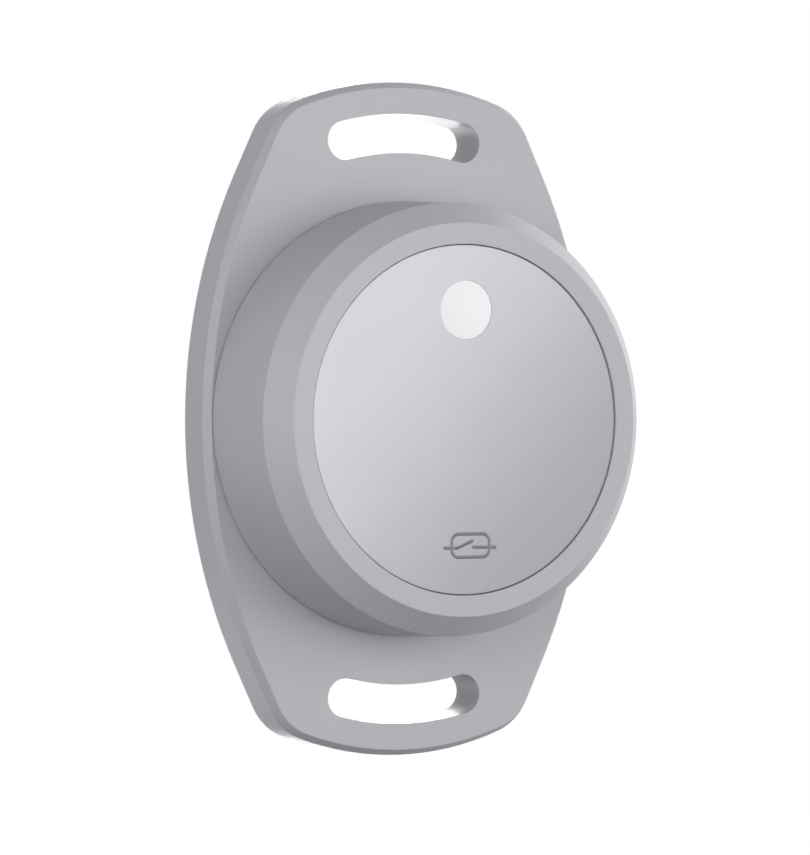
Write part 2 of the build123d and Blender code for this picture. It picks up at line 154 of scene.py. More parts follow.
class InsideSizes(bpy.types.PropertyGroup):
    head_radius: length_property("Screw Head Radius", "Radius of the board screws' heads", 1.1 * MM)
    shank_radius: length_property(
        "Screw Shank Radius", "Radius over the thread of the board screws", 0.6 * MM)
    thread_height: length_property("Thread Height", "Height of the thread over its core", 0.12 * MM)
    thread_pitch: length_property("Thread Pitch", "Advance of the thread in one turn", 0.5 * MM)
    recess_width: length_property("Recess Width", "Width of each arm of the cross recess", 0.3 * MM)
    track_width: length_property("Track Width", "Width of the copper tracks", 0.2 * MM)
    track_height: length_property(
        "Track Height", "Height of tracks and lands over the board", 0.03 * MM, precision=6)


class FinishColours(bpy.types.PropertyGroup):
    shell: colour_property("Shell", "Grey of the moulded base and cover", (0.458, 0.446, 0.468))
    disc: colour_property("Disc", "Silver of the face disc", (0.430, 0.426, 0.450))
    window: colour_property("Window", "White of the breathing window", (0.87, 0.87, 0.87))
    ink: colour_property("Ink", "Grey of the printed mark", (0.185, 0.185, 0.192))
    mask: colour_property("Solder Mask", "Green of the circuit board", (0.016, 0.130, 0.055))


class StudioSettings(bpy.types.PropertyGroup):
    azimuth: angle_property("Azimuth", "Turn of the camera round the object", -29.696)
    elevation: angle_property("Elevation", "Height of the camera as an angle", 0.439)
    distance: length_property("Distance", "Camera distance from the middle of the back", 0.47432)
    focal_length: bpy.props.FloatProperty(
        name="Focal Length", description="Focal length of the camera in millimetres", default=222.46)
    aim_left: angle_property(
        "Aim Left", "Angle by which the object stands left of the picture's middle", 0.2487)
    aim_up: angle_property(
        "Aim Up", "Angle by which the object stands above the picture's middle", 0.0963)
    ambient: bpy.props.FloatProperty(
        name="Ambient", description="Strength of the even light from all sides", default=0.24, min=0)
    floor_drop: length_property("Floor Drop", "Height of the object's middle above the floor", 0.15)


# Node building


def add_node(tree, kind, inputs=None, **settings):
    """New node with its settings and inputs; an input is a value, a socket or a node's first output."""
    node = tree.nodes.new(kind)
    for key, value in settings.items():
        setattr(node, key, value)
    for key, value in (inputs or {}).items():
        if isinstance(value, bpy.types.Node):
            value = value.outputs[0]
        if isinstance(value, bpy.types.NodeSocket):
            tree.links.new(value, node.inputs[key])
        else:
            node.inputs[key].default_value = value
    return node


def add_math(tree, operation, *values):
    """Math node with its inputs in order."""
    return add_node(tree, "ShaderNodeMath", dict(enumerate(values)), operation=operation)


def new_group(name, kind, inputs, outputs):
    """Node group with its named inputs and outputs, each a name, a kind and, if it has one, a default."""
    tree = bpy.data.node_groups.new(name, kind)
    for direction, sockets in (("INPUT", inputs), ("OUTPUT", outputs)):
        for label, value_kind, *default in sockets:
            socket = tree.interface.new_socket(
                name=label, in_out=direction, socket_type="NodeSocket" + value_kind)
            if default:
                socket.default_value = default[0]
    return tree


def stored(tree, name, kind="FLOAT"):
    """Value that a mesh stores on its points."""
    attribute = add_node(tree, "GeometryNodeInputNamedAttribute", {"Name": name}, data_type=kind)
    return attribute.outputs["Attribute"]


def rounded_line(tree, line, steps):
    """Curve along a line mesh, with its corners rounded as its points say."""
    curve = add_node(tree, "GeometryNodeMeshToCurve", {"Mesh": line})
    radius = stored(tree, "rounding")
    return add_node(tree, "GeometryNodeFilletCurve", {
        "Curve": curve, "Count": steps, "Radius": radius, "Limit Radius": True}, mode="POLY")


def swept_upright(tree, path, profile, place, caps=True):
    """Sweeps a profile along a path that lies flat, stands the mesh up to face the front, and places it."""
    level = add_node(tree, "GeometryNodeSetCurveNormal", {"Curve": path}, mode="Z_UP")
    swept = add_node(tree, "GeometryNodeCurveToMesh", {
        "Curve": level, "Profile Curve": profile, "Fill Caps": caps})
    return add_node(tree, "GeometryNodeTransform", {
        "Geometry": swept, "Translation": place, "Rotation": (UPRIGHT, 0, 0)})


def anticlockwise(tree, angle):
    """Rotation about the turning axis, anticlockwise as seen from the front."""
    return add_node(tree, "FunctionNodeAxisAngleToRotation", {"Axis": (0, -1, 0), "Angle": angle})


def turn_section(tree, given):
    """Rounds a section's corners and turns it about an axis along Y: it moves in by the radius of the hub."""
    hub = MM
    section = rounded_line(tree, given["Section"], given["Corner Steps"])
    moved = add_node(tree, "GeometryNodeTransform", {"Geometry": section, "Translation": (-hub, 0, 0)})
    circle = add_node(tree, "GeometryNodeCurvePrimitiveCircle", {
        "Resolution": given["Segments"], "Radius": hub})
    placed = swept_upright(tree, circle, moved, given["Centre"], caps=False)
    return add_node(tree, "GeometryNodeMergeByDistance", {"Geometry": placed, "Distance": MERGE})


def repeat_round_axis(tree, given):
    """Repeats a piece at even angles round the turning axis."""
    points = add_node(tree, "GeometryNodePoints", {"Count": given["Count"]})
    index = add_node(tree, "GeometryNodeInputIndex")
    step = add_math(tree, "DIVIDE", math.tau, given["Count"])
    angle = add_math(tree, "MULTIPLY_ADD", index, step, given["Start Angle"])
    return add_node(tree, "GeometryNodeInstanceOnPoints", {
        "Points": points, "Instance": given["Piece"], "Rotation": anticlockwise(tree, angle)})


def draw_strokes(tree, given):
    """Rounds the corners of flat lines and gives them the width and height of printed ink."""
    line = rounded_line(tree, given["Lines"], given["Corner Steps"])
    nib = add_node(tree, "GeometryNodeCurvePrimitiveQuadrilateral", {
        "Width": given["Width"], "Height": given["Height"]})
    place = add_node(tree, "ShaderNodeCombineXYZ", {"Y": add_math(tree, "MULTIPLY", given["Depth"], -1.0)})
    return swept_upright(tree, line, nib, place)


def set_copies(tree, given):
    """Sets a copy of a piece on every point, turned and sized by the point's own values."""
    shape = add_node(tree, "GeometryNodeObjectInfo", {"Object": given["Piece"]})
    return add_node(tree, "GeometryNodeInstanceOnPoints", {
        "Points": given["Places"], "Instance": shape.outputs["Geometry"],
        "Rotation": anticlockwise(tree, stored(tree, "turn")), "Scale": stored(tree, "size", "FLOAT_VECTOR")})


def wind_threads(tree, given):
    """Winds a thread on a screw and repeats the screw round the turning axis."""
    helix = add_node(tree, "GeometryNodeCurveSpiral", {
        "Resolution": 14, "Rotations": given["Thread Turns"], "Start Radius": given["Thread Radius"],
        "End Radius": given["Thread Radius"], "Height": given["Thread Length"]})
    ridge = add_node(tree, "GeometryNodeCurvePrimitiveCircle", {
        "Resolution": 3, "Radius": given["Thread Height"]})
    thread = swept_upright(tree, helix, ridge, given["Thread Start"])
    screw = add_node(tree, "GeometryNodeJoinGeometry")
    tree.links.new(given["Screw"], screw.inputs[0])
    tree.links.new(thread.outputs[0], screw.inputs[0])
    return add_node(tree, "GeometryNodeGroup", {
        "Piece": screw, "Count": given["Count"], "Start Angle": given["Start Angle"],
        "Material": given["Material"]}, node_tree=geometry_tree("Round The Axis"))


RING_INPUTS = (("Count", "Int", 3), ("Start Angle", "Float", 0.0))
# Geometry Nodes trees: the function that fills each, and its inputs besides the material
TREES = {
    "Turned Piece": (turn_section, (
        ("Section", "Geometry"), ("Segments", "Int", 128), ("Corner Steps", "Int", 3), ("Centre", "Vector"))),
    "Round The Axis": (repeat_round_axis, (("Piece", "Geometry"), *RING_INPUTS)),
    "Printed Stroke": (draw_strokes, (
        ("Lines", "Geometry"), ("Width", "Float", 0.24 * MM), ("Height", "Float", 0.02 * MM),
        ("Corner Steps", "Int", 8), ("Depth", "Float", 0.0))),
    "Placed Copies": (set_copies, (("Places", "Geometry"), ("Piece", "Object"))),
    "Ring Of Screws": (wind_threads, (
        ("Screw", "Geometry"), ("Thread Radius", "Float", 0.5 * MM), ("Thread Height", "Float", 0.1 * MM),
        ("Thread Turns", "Float", 4.0), ("Thread Length", "Float", 2 * MM), ("Thread Start", "Vector"),
        *RING_INPUTS)),
}


def geometry_tree(name):
    """Geometry Nodes tree, built when first asked for; each ends in real geometry with its material."""
    if name in bpy.data.node_groups:
        return bpy.data.node_groups[name]
    fill, inputs = TREES[name]
    inputs = (*inputs, ("Material", "Material"))
    tree = new_group(name, "GeometryNodeTree", inputs, [("Geometry", "Geometry")])
    given = add_node(tree, "NodeGroupInput").outputs
    real = add_node(tree, "GeometryNodeRealizeInstances", {"Geometry": fill(tree, given)})
    dressed = add_node(tree, "GeometryNodeSetMaterial", {"Geometry": real, "Material": given["Material"]})
    add_node(tree, "NodeGroupOutput", {"Geometry": dressed})
    return tree


# Mesh building


def new_object(name, content):
    """Object at the origin, linked to the scene, that holds a mesh, a lamp or a camera."""
    holder = bpy.data.objects.new(name, content)
    bpy.context.scene.collection.objects.link(holder)
    return holder


def object_from(name, shape):
    """Object whose mesh is made from a bmesh, which is freed."""
    mesh = bpy.data.meshes.new(name)
    shape.to_mesh(mesh)
    shape.free()
    return new_object(name, mesh)


def rectangle(left, right, low, high, corner=0):
    """Closed line for line_mesh and printed_lines."""
    return [(left, low, corner), (right, low, corner), (right, high, corner), (left, high, corner)], True


def line_mesh(name, lines):
    """Mesh of poly-lines; each is (points, closed), and each point is (x, y, rounding)."""
    points, edges, rounding = [], [], []
    for line, closed in lines:
        first = len(points)
        points += [(x, y, 0) for x, y, corner in line]
        rounding += [corner for x, y, corner in line]
        edges += [(first + step, first + step + 1) for step in range(len(line) - 1)]
        if closed:
            edges.append((len(points) - 1, first))
    mesh = bpy.data.meshes.new(name)
    mesh.from_pydata(points, edges, [])
    mesh.attributes.new("rounding", "FLOAT", "POINT").data.foreach_set("value", rounding)
    return mesh


def settle(piece):
    """Replaces an object's mesh by its evaluated one, and removes its modifiers."""
    depsgraph = bpy.context.evaluated_depsgraph_get()
    mesh = bpy.data.meshes.new_from_object(
        piece.evaluated_get(depsgraph), preserve_all_data_layers=True, depsgraph=depsgraph)
    old = piece.data
    piece.modifiers.clear()
    piece.data = mesh
    mesh.name = piece.name
    if old.users == 0:
        bpy.data.meshes.remove(old)
    return piece


def grow(piece, tree_name, values):
    """Runs a Geometry Nodes tree on an object, with values by input name, and keeps the result."""
    modifier = piece.modifiers.new(tree_name, "NODES")
    modifier.node_group = geometry_tree(tree_name)
    for item in modifier.node_group.interface.items_tree:
        if item.item_type == "SOCKET" and item.in_out == "INPUT" and item.name in values:
            modifier[item.identifier] = values[item.name]
    return settle(piece)


def face_outwards(mesh):
    """Turns every face of a closed mesh outwards."""
    shape = bmesh.new()
    shape.from_mesh(mesh)
    bmesh.ops.recalc_face_normals(shape, faces=shape.faces)
    shape.to_mesh(mesh)
    shape.free()


def turned_piece(name, section, material, centre=(0, 0, 0), segments=128, closed=False):
    """Solid of a section given as (radius, depth, rounding), turned about an axis along Y."""
    outline = [(radius, -depth, corner) for radius, depth, corner in section]
    piece = new_object(name, line_mesh(name, [(outline, closed)]))
    grow(piece, "Turned Piece", {
        "Segments": segments, "Corner Steps": 3, "Centre": centre, "Material": material})
    face_outwards(piece.data)
    return piece


def turned_disc(name, radius, back, front, material, centre=(0, 0, 0), segments=48, corners=(0, 0)):
    """Disc or drill, with the roundings of its back and front edges."""
    section = [(0, back, 0), (radius, back, corners[0]), (radius, front, corners[1]), (0, front, 0)]
    return turned_piece(name, section, material, centre, segments)


def turned_tube(name, bore, radius, back, front, material, centre, segments, corners=(0, 0)):
    """Tube, with the roundings of the inner and outer edge at its back."""
    section = [(bore, back, corners[0]), (radius, back, corners[1]), (radius, front, 0), (bore, front, 0)]
    return turned_piece(name, section, material, centre, segments, closed=True)


def round_the_axis(piece, count, start, material):
    """Repeats a piece round the turning axis; start turns anticlockwise from where it stands."""
    return grow(piece, "Round The Axis", {"Count": count, "Start Angle": start, "Material": material})


def cut(piece, cutter):
    """Takes one solid out of another."""
    modifier = piece.modifiers.new("Cut", "BOOLEAN")
    modifier.operation = "DIFFERENCE"
    modifier.solver = "EXACT"
    modifier.object = cutter
    settle(piece)
    bpy.data.objects.remove(cutter)


def join(piece, others):
    """Adds the meshes of other objects to a piece, and removes them."""
    shape = bmesh.new()
    shape.from_mesh(piece.data)
    for other in others:
        shape.from_mesh(other.data)
        bpy.data.objects.remove(other)
    shape.to_mesh(piece.data)
    shape.free()
    return piece


def ring_block(name, half_angle, inner, outer, back, front, steps=10):
    """Solid block of a ring, centred on +X; the angle is in degrees."""
    shape = bmesh.new()
    rows = []
    for step in range(steps + 1):
        angle = math.radians(half_angle) * (2 * step / steps - 1)
        corners = ((inner, back), (outer, back), (outer, front), (inner, front))
        rows.append([shape.verts.new((radius * math.cos(angle), -depth, radius * math.sin(angle)))
                     for radius, depth in corners])
    for before, after in zip(rows, rows[1:]):
        for side in range(4):
            other = (side + 1) % 4
            shape.faces.new((before[side], before[other], after[other], after[side]))
    shape.faces.new(rows[0])
    shape.faces.new(rows[-1])
    bmesh.ops.recalc_face_normals(shape, faces=shape.faces)
    return object_from(name, shape)


def rounded_block(name, width, height, rise, edge, centre=(0, 0)):
    """Block that stands on the plane y = 0 and rises towards the front, with rounded edges."""
    shape = bmesh.new()
    bmesh.ops.create_cube(shape, size=1)
    for vertex in shape.verts:
        x, y, z = vertex.co
        vertex.co = (centre[0] + x * width, (y - 0.5) * rise, centre[1] + z * height)
    bmesh.ops.bevel(shape, geom=shape.edges[:], offset=edge, segments=2, profile=0.5, affect="EDGES")
    return object_from(name, shape)


def raised_plus(name, reach, half_width, face_depth, height):
    """Plus on a face that looks at the wall, as high over the face as it reaches into it."""
    near, far = half_width, reach
    corners = [(-near, far), (near, far), (near, near), (far, near), (far, -near), (near, -near),
               (near, -far), (-near, -far), (-near, -near), (-far, -near), (-far, near), (-near, near)]
    shape = bmesh.new()
    face = shape.faces.new([shape.verts.new((x, height - face_depth, z)) for x, z in corners])
    raised = bmesh.ops.extrude_face_region(shape, geom=[face])["geom"]
    moved = [part for part in raised if isinstance(part, bmesh.types.BMVert)]
    bmesh.ops.translate(shape, vec=(0, -2 * height, 0), verts=moved)
    bmesh.ops.recalc_face_normals(shape, faces=shape.faces)
    return object_from(name, shape)


def placed_copies(name, template, places, depth, material):
    """Copies of a template, which is removed; a place is (x, z, turn in degrees, width and height scale)."""
    mesh = bpy.data.meshes.new(name)
    mesh.from_pydata([(x, -depth, z) for x, z, turn, wide, tall in places], [], [])
    turns = [math.radians(place[2]) for place in places]
    sizes = [number for place in places for number in (place[3], 1, place[4])]
    mesh.attributes.new("turn", "FLOAT", "POINT").data.foreach_set("value", turns)
    mesh.attributes.new("size", "FLOAT_VECTOR", "POINT").data.foreach_set("vector", sizes)
    piece = grow(new_object(name, mesh), "Placed Copies", {"Piece": template, "Material": material})
    bpy.data.objects.remove(template)
    return piece


def printed_lines(name, lines, width, height, depth, material):
    """Lines of ink or copper on a flat face; each is (points, closed), a point is (x, z, rounding)."""
    piece = new_object(name, line_mesh(name, lines))
    grow(piece, "Printed Stroke", {
        "Width": width, "Height": height, "Corner Steps": 8, "Depth": depth, "Material": material})
    face_outwards(piece.data)
    return piece


def edge_middle(edge):
    return (edge.verts[0].co + edge.verts[1].co) / 2


def softened_copy(name, node, width, is_outer, reshape=None):
    """Copy of a node's mesh, merged and reshaped, with the sharp edges that is_outer picks rounded."""
    shape = bmesh.new()
    shape.from_mesh(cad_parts[node].data)
    bmesh.ops.remove_doubles(shape, verts=shape.verts, dist=2 * MERGE)
    if reshape:
        for vertex in shape.verts:
            reshape(vertex.co)
    bmesh.ops.dissolve_limit(shape, angle_limit=FLAT_ANGLE, verts=shape.verts, edges=shape.edges)
    sharp = [edge for edge in shape.edges
             if len(edge.link_faces) == 2 and edge.calc_face_angle() > FOLD_ANGLE and is_outer(edge)]
    bmesh.ops.bevel(shape, geom=sharp, offset=width, offset_type="OFFSET", segments=3, profile=0.5,
                    affect="EDGES", clamp_overlap=False)
    bmesh.ops.triangulate(shape, faces=[face for face in shape.faces if len(face.verts) > 4])
    piece = object_from(name, shape)
    if "custom_normal" in piece.data.attributes:
        piece.data.attributes.remove(piece.data.attributes["custom_normal"])
    return piece


def smooth(piece):
    """Smooth shading that keeps flat faces flat and sharp edges sharp."""
    piece.data.shade_smooth()
    piece.data.set_sharp_from_angle(angle=SHARP_ANGLE)
    modifier = piece.modifiers.new("Normals", "WEIGHTED_NORMAL")
    modifier.keep_sharp = True
    modifier.weight = 80
    return settle(piece)


def dress(piece, body, slot, material, *nodes):
    """Gives a finished piece its material, the body it moves with and the nodes it stands for."""
    piece.data.materials.clear()
    piece.data.materials.append(material)
    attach(piece, body)
    if nodes:
        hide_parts(*nodes)


# Finishes


def grain_group():
    """Fine moulded or matte surface: a colour that drifts a little, its roughness and its grain's height."""
    name = "Fine Grain"
    if name in bpy.data.node_groups:
        return bpy.data.node_groups[name]
    inputs = (("Place", "Vector"), ("Colour", "Color", (0.5, 0.5, 0.5, 1)), ("Grain Scale", "Float", 4000.0),
              ("Drift Scale", "Float", 120.0), ("Drift", "Float", 0.03), ("Roughness", "Float", 0.5),
              ("Roughness Change", "Float", 0.08))
    outputs = (("Colour", "Color"), ("Roughness", "Float"), ("Height", "Float"))
    tree = new_group(name, "ShaderNodeTree", inputs, outputs)
    given = add_node(tree, "NodeGroupInput").outputs
    fine = add_node(tree, "ShaderNodeTexNoise", {
        "Vector": given["Place"], "Scale": given["Grain Scale"], "Detail": 4.0, "Roughness": 0.6})
    pits = add_node(tree, "ShaderNodeTexVoronoi", {
        "Vector": given["Place"], "Scale": given["Grain Scale"]}, feature="SMOOTH_F1")
    drift = add_node(tree, "ShaderNodeTexNoise", {
        "Vector": given["Place"], "Scale": given["Drift Scale"], "Detail": 3.0})
    height = add_math(tree, "ADD", fine.outputs["Fac"], pits.outputs["Distance"])
    centred = add_math(tree, "SUBTRACT", drift.outputs["Fac"], 0.5)
    change = add_math(tree, "MULTIPLY_ADD", centred, given["Drift"], 1.0)
    tone = add_node(tree, "ShaderNodeVectorMath", {0: given["Colour"], "Scale": change}, operation="SCALE")
    gloss = add_math(tree, "MULTIPLY_ADD", centred, given["Roughness Change"], given["Roughness"])
    add_node(tree, "NodeGroupOutput", {"Colour": tone, "Roughness": gloss, "Height": height})
    return tree


def grained(name, colour, roughness, grain, drift, height=0.01 * MM, change=0.08, tint=None, **others):
    """Material with the fine grain on Object coordinates; others are set on the shader's own sockets."""
    finished = bpy.data.materials.new(name)
    finished.use_nodes = True
    finished.diffuse_color = (*colour[:3], 1)
    tree = finished.node_tree
    shader = tree.nodes["Principled BSDF"]
    for label, value in others.items():
        shader.inputs[label.replace("_", " ")].default_value = value
    place = add_node(tree, "ShaderNodeTexCoord").outputs["Object"]
    effect = add_node(tree, "ShaderNodeGroup", {
        "Place": place, "Colour": (*colour[:3], 1), "Grain Scale": grain, "Drift": drift,
        "Roughness": roughness, "Roughness Change": change}, node_tree=grain_group()).outputs
    bump = add_node(tree, "ShaderNodeBump", {"Height": effect["Height"], "Distance": height, "Strength": 1.0})
    tone = tint(tree, place, effect["Colour"]) if tint else effect["Colour"]
    tree.links.new(tone, shader.inputs["Base Color"])
    tree.links.new(effect["Roughness"], shader.inputs["Roughness"])
    tree.links.new(bump.outputs[0], shader.inputs["Normal"])
    return finished


# Painted sheen on the silver disc: reach of its sweep, how light it is painted from the lower right to the
# upper left, and the tone and share of the painted shade at its edge
PAINTED_SHEEN_REACH = 21 * MM
PAINTED_SHEEN_LEVELS = ((0.0, 0.60), (0.23, 0.67), (0.5, 0.82), (0.77, 0.95), (1.0, 1.0))
# painted shade along the disc's edge: its tone and how much of it is mixed in
GAP_SHADE_TONE, GAP_SHADE_SHARE = (0.06, 0.06, 0.062, 1), 0.3


def painted_sheen_and_gap_shade(tree, place, colour):
    """Painted sheen on the silver disc, lighter at the upper left, and painted shade along its edge where the
    gap round the disc lies in shade.
    """
    parts = add_node(tree, "ShaderNodeSeparateXYZ", {0: place}).outputs
    # painted sheen: the disc's colour is lighter towards the upper left, where the highlight falls
    diagonal = add_math(tree, "SUBTRACT", parts["Z"], parts["X"])
    share = add_node(tree, "ShaderNodeMapRange", {
        "Value": diagonal, "From Min": -PAINTED_SHEEN_REACH, "From Max": PAINTED_SHEEN_REACH})
    painted_sheen = add_node(tree, "ShaderNodeValToRGB", {"Fac": share})
    ramp = painted_sheen.color_ramp
    ramp.interpolation = "CARDINAL"
    for stand, level in PAINTED_SHEEN_LEVELS:
        stop = ramp.elements.new(stand) if 0 < stand < 1 else ramp.elements[-int(stand)]
        stop.color = (level, level, level, 1)
    swept = add_node(tree, "ShaderNodeMix", {"Factor": 1.0, "A": colour, "B": painted_sheen},
                     data_type="RGBA", blend_type="MULTIPLY")
    face = bpy.context.scene.sensor_face
    across = add_node(tree, "ShaderNodeCombineXYZ", {"X": parts["X"], "Y": parts["Z"]})
    radius = add_node(tree, "ShaderNodeVectorMath", {0: across}, operation="LENGTH")
    # painted shade round the disc's edge, where the gap between disc and cover lies in shade
    edge = add_node(tree, "ShaderNodeMapRange", {
        "Value": radius.outputs["Value"], "From Min": face.disc_radius - face.painted_gap_shade_width,
        "From Max": face.disc_radius - 0.7 * face.painted_gap_shade_width, "To Max": GAP_SHADE_SHARE})
    gap_shaded = add_node(tree, "ShaderNodeMix", {"Factor": edge, "A": swept.outputs["Result"], "B": GAP_SHADE_TONE},
                        data_type="RGBA")
    return gap_shaded.outputs["Result"]


METAL = {"Metallic": 1.0}
# Colour or the name of its property, roughness, grain scale, drift of the colour, further values, and the
# nodes that wear the finish as they are packed
FINISHES = {
    "shell_grey": ("shell", 0.42, 5200, 0.03, {"height": 0.006 * MM, "Specular_IOR_Level": 0.35}),
    # the silver disc's colour carries a painted sheen and a painted shade along its edge
    "disc_silver": ("disc", 0.36, 9000, 0.02, {"height": 0.001 * MM, "tint": painted_sheen_and_gap_shade, "Metallic": 0.30}),
    "window_white": ("window", 0.6, 6000, 0.01, {"height": 0.004 * MM}),
    "mark_ink": ("ink", 0.45, 7000, 0.06, {"height": 0.002 * MM}),
    "seal_rubber": ((0.025, 0.025, 0.026), 0.5, 3000, 0.2, {}, "cover_seal"),
    "foam_rubber": ((0.045, 0.045, 0.047), 0.85, 2200, 0.3, {"height": 0.05 * MM}, "vent_gasket"),
    "tape": ((0.6, 0.6, 0.57), 0.4, 1500, 0.06, {}, "face_adhesive", "vent_adhesive"),
    "board_green": ("mask", 0.32, 2500, 0.15, {}, "circuit_board"),
    "track_green": ((0.022, 0.190, 0.075), 0.3, 2500, 0.1, {}),
    "board_ink": ((0.75, 0.75, 0.73), 0.6, 5000, 0.1, {}),
    "zinc_steel": ((0.52, 0.52, 0.53), 0.33, 3000, 0.08, METAL),
    "chip_black": ((0.018, 0.018, 0.019), 0.55, 5000, 0.2, {}, "radio_chip", "humidity_chip"),
    "tinned_steel": ((0.63, 0.63, 0.61), 0.3, 2500, 0.06, METAL),
    "pale_ceramic": ((0.72, 0.70, 0.64), 0.5, 4000, 0.05, {}, "chip_antenna"),
    "gilt_lid": ((0.66, 0.60, 0.44), 0.28, 3000, 0.05, METAL, "main_crystal", "clock_crystal"),
    "tantalum_yellow": ((0.60, 0.38, 0.05), 0.45, 4000, 0.08, {}, "bulk_capacitor"),
    "lamp_lens": ((0.80, 0.76, 0.55), 0.2, 2000, 0.05, {"Coat_Weight": 0.5}, "status_led"),
    "contact_glass": ((0.86, 0.95, 0.90), 0.03, 900, 0.03, {
        "height": 0.001 * MM, "change": 0.02, "Transmission_Weight": 1.0, "IOR": 1.5}, "reed_glass"),
    "contact_wire": ((0.60, 0.58, 0.55), 0.3, 3000, 0.08, METAL,
                     "reed_moving_lead", "reed_fixed_blade", "reed_leaf"),
    "holder_black": ((0.028, 0.028, 0.030), 0.5, 4500, 0.15, {}, "battery_holder", "cell_gasket"),
    "gilt_bronze": ((0.70, 0.52, 0.25), 0.27, 2600, 0.08, METAL, "positive_contact", "negative_contact"),
    "cell_nickel": ((0.68, 0.68, 0.67), 0.26, 2600, 0.04, METAL),
}
MATERIALS = {}


def material(name):
    if name not in MATERIALS:
        raise RuntimeError(f"the finishes are made first: no {name}")
    return MATERIALS[name]


class SENSOR_OT_finishes(bpy.types.Operator):
    """Makes every finish and puts those of the inner pieces on their nodes"""
    bl_idname = "sensor.finishes"
    bl_label = "Finishes"

    def execute(self, context):
        chosen = context.scene.sensor_colours
        for name, (colour, roughness, grain, drift, others, *nodes) in FINISHES.items():
            tone = getattr(chosen, colour) if isinstance(colour, str) else colour
            MATERIALS[name] = grained(name, tone, roughness, grain, drift, **others)
            for node in nodes:
                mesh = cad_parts[node].data
                mesh.materials.clear()
                mesh.materials.append(MATERIALS[name])
        return {"FINISHED"}


# The shells and the face


class SENSOR_OT_base(bpy.types.Operator):
    """Moulded base: slotted flange with a cored back and the ring that the cover turns on"""
    bl_idname = "sensor.base"
    bl_label = "Moulded Base"

    def execute(self, context):
        sizes = context.scene.sensor_base
        grey = material("shell_grey")
        edges_from, edges_depth = 19.42 * MM, 2.9 * MM
        rim_from, solid_rim = 19.6 * MM, 0.5 * MM

        def on_flange(edge):
            middle = edge_middle(edge)
            outside = math.hypot(middle.x, middle.z) > edges_from
            return outside and edge.calc_length() > HAIR and middle.y < -edges_depth

        def deepen_rim(place):
            outside = math.hypot(place.x, place.z) > rim_from
            if outside and abs(place.y + FLANGE_FRONT - solid_rim) < MERGE:
                place.y = sizes.rim_depth - FLANGE_FRONT

        piece = softened_copy("moulded_base", "base_flange", sizes.edge_round, on_flange, deepen_rim)
        marks = turned_disc("ejector_mark", sizes.ejector_radius, -sizes.ejector_depth, sizes.ejector_depth,
                            grey, centre=(sizes.ejector_circle, 0, 0))
        round_the_axis(marks, sizes.ejector_count, 0.0, grey)
        gate = [(0, -0.4 * MM, 0), (1.8 * MM, -0.4 * MM, 0), (1.5 * MM, 0.4 * MM, 0), (0.7 * MM, 0.4 * MM, 0),
                (0.6 * MM, 0.15 * MM, 0), (0, 0.15 * MM, 0)]
        join(marks, [turned_piece("gate", gate, grey, segments=48)])
        cut(piece, marks)
        dress(smooth(piece), "base", "base_plastic", grey, "base_flange")
        return {"FINISHED"}


class SENSOR_OT_cover(bpy.types.Operator):
    """Twist-off cover, turned from its section, with its bosses, lugs, key and gasket seat inside"""
    bl_idname = "sensor.cover"
    bl_label = "Twist-off Cover"

    def execute(self, context):
        sizes = context.scene.sensor_cover
        window_centre = (0, 0, context.scene.sensor_face.window_height)
        grey = material("shell_grey")
        edge, inner_edge = sizes.edge_round, 0.2 * MM
        panel_back = sizes.panel_depth - sizes.panel_thickness
        root = panel_back + 0.1 * MM
        section = [
            (0, sizes.panel_depth, 0),
            (sizes.recess_radius, sizes.panel_depth, 0),
            (sizes.recess_radius, COVER_FRONT, edge / 2),
            (sizes.bezel_radius, COVER_FRONT, edge),
            (sizes.bevel_radius, COVER_FRONT - sizes.bevel_depth, edge),
            (sizes.skirt_radius, SKIRT_BACK, edge),
            (sizes.bore_radius, SKIRT_BACK, inner_edge),
            (sizes.bore_radius, panel_back, inner_edge),
            (0, panel_back, 0),
        ]
        piece = turned_piece("twist_off_cover", section, grey, segments=sizes.segments)
        cut(piece, turned_disc("port", radius=1 * MM, back=12 * MM, front=15 * MM, material=grey,
                               centre=window_centre))
        boss = turned_tube("boss", bore=0.6 * MM, radius=1.55 * MM, back=BOARD_FRONT, front=root,
                           material=grey, centre=FIRST_SCREW, segments=40, corners=(0.1 * MM, 0.15 * MM))
        round_the_axis(boss, SCREW_COUNT, SCREW_START, grey)
        lug = ring_block("lug", half_angle=12, inner=16.7 * MM, outer=18.4 * MM, back=6.0 * MM,
                         front=6.8 * MM)
        round_the_axis(lug, 3, math.radians(90), grey)
        seat = turned_tube("seat", bore=3.3 * MM, radius=3.9 * MM, back=panel_back - 0.7 * MM, front=root,
                           material=grey, centre=window_centre, segments=72, corners=(0.1 * MM, 0.1 * MM))
        key = ring_block("key", half_angle=2.05, inner=15.9 * MM, outer=17.7 * MM, back=9.4 * MM, front=root,
                         steps=2)
        round_the_axis(key, 1, math.radians(200), grey)
        join(piece, [boss, lug, seat, key])
        dress(smooth(piece), "twist_cover", "cover_plastic", grey, "cover")
        return {"FINISHED"}


class SENSOR_OT_face(bpy.types.Operator):
    """Silver face disc with the hole for the window"""
    bl_idname = "sensor.face"
    bl_label = "Face Disc"

    def execute(self, context):
        sizes = context.scene.sensor_face
        silver = material("disc_silver")
        piece = turned_disc("face_disc", sizes.disc_radius, DISC_BACK, sizes.disc_front, silver, segments=256,
                            corners=(0.03 * MM, 0.07 * MM))
        cut(piece, turned_disc("hole", sizes.window_hole, back=13 * MM, front=15 * MM, material=silver,
                               centre=(0, 0, sizes.window_height), segments=96))
        dress(smooth(piece), "twist_cover", "face_silver", silver, "face_plate")
        return {"FINISHED"}


